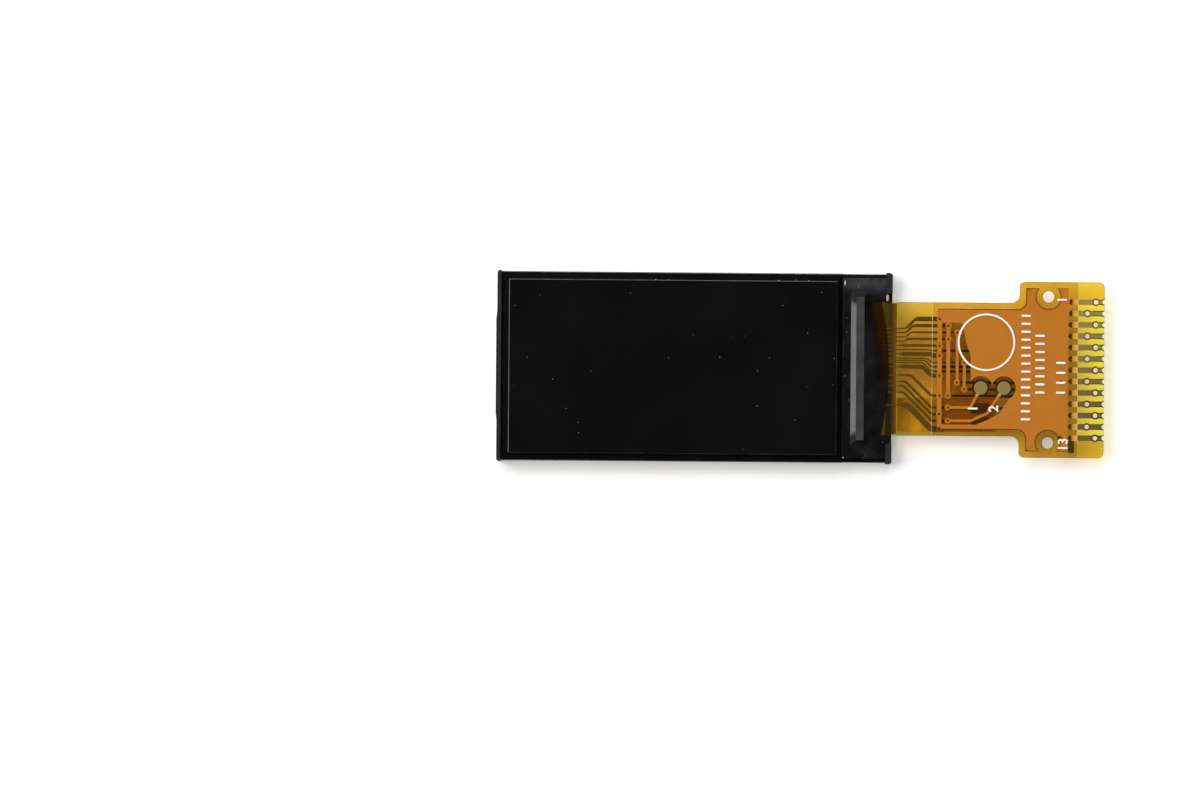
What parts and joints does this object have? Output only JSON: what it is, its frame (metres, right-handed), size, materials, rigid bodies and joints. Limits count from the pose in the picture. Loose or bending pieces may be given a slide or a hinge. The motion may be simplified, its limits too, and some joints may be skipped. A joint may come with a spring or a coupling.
{
  "type": "lcd display module",
  "caption": "Small flat colour display: a black glass cell on an edge-lit backlight in a moulded frame, with a yellow flexible circuit that ends in a row of solder pads.",
  "frame": {"origin": "centre of the display body's length and width, on its back face", "axes": "+X along the module towards the flexible circuit, +Y across it, +Z out of the screen towards the viewer"},
  "size_m": [0.0429, 0.0136, 0.0015],
  "materials": {
    "black_moulding": "matt moulded black polycarbonate",
    "white_film": "bright white reflector film",
    "clear_acrylic": "clear polished acrylic",
    "diffuser": "milky film",
    "prism_film": "finely ribbed clear film",
    "black_tape": "matt black tape",
    "white_housing": "white moulded housing",
    "phosphor": "yellow phosphor in silicone",
    "diode_flex": "amber film circuit",
    "solder": "bright solder",
    "rear_polariser": "dark grey film",
    "array_glass": "thin polished glass",
    "cell_seal": "cured seal",
    "liquid_crystal": "dark layer in the cell",
    "filter_glass": "thin polished glass",
    "front_polariser": "glossy black film",
    "bond_film": "thin conductive adhesive",
    "silicon": "ground silicon",
    "sealant": "glossy dark coating",
    "base_film": "clear amber polyimide",
    "rear_copper": "plated copper",
    "front_copper": "bright copper",
    "front_coverlay": "clear amber polyimide",
    "rear_coverlay": "clear amber polyimide"
  },
  "bodies": {
    "root": {"backlight_frame": "black_moulding", "reflector_film": "white_film", "light_guide": "clear_acrylic", "diffuser_film": "diffuser", "lower_prism_film": "prism_film", "upper_prism_film": "prism_film", "rim_tape": "black_tape", "led_housings": "white_housing", "led_phosphors": "phosphor", "led_flex": "diode_flex", "led_solder": "solder", "rear_polariser": "rear_polariser", "array_glass": "array_glass", "cell_seal": "cell_seal", "liquid_crystal": "liquid_crystal", "colour_filter_glass": "filter_glass", "front_polariser": "front_polariser", "chip_bond_film": "bond_film", "driver_chip": "silicon", "ledge_sealant": "sealant", "flex_bond_film": "bond_film", "flex_base_film": "base_film", "rear_copper": "rear_copper", "front_copper": "front_copper", "plated_vias": "front_copper", "front_coverlay": "front_coverlay", "rear_coverlay": "rear_coverlay"}
  },
  "joints": []
}
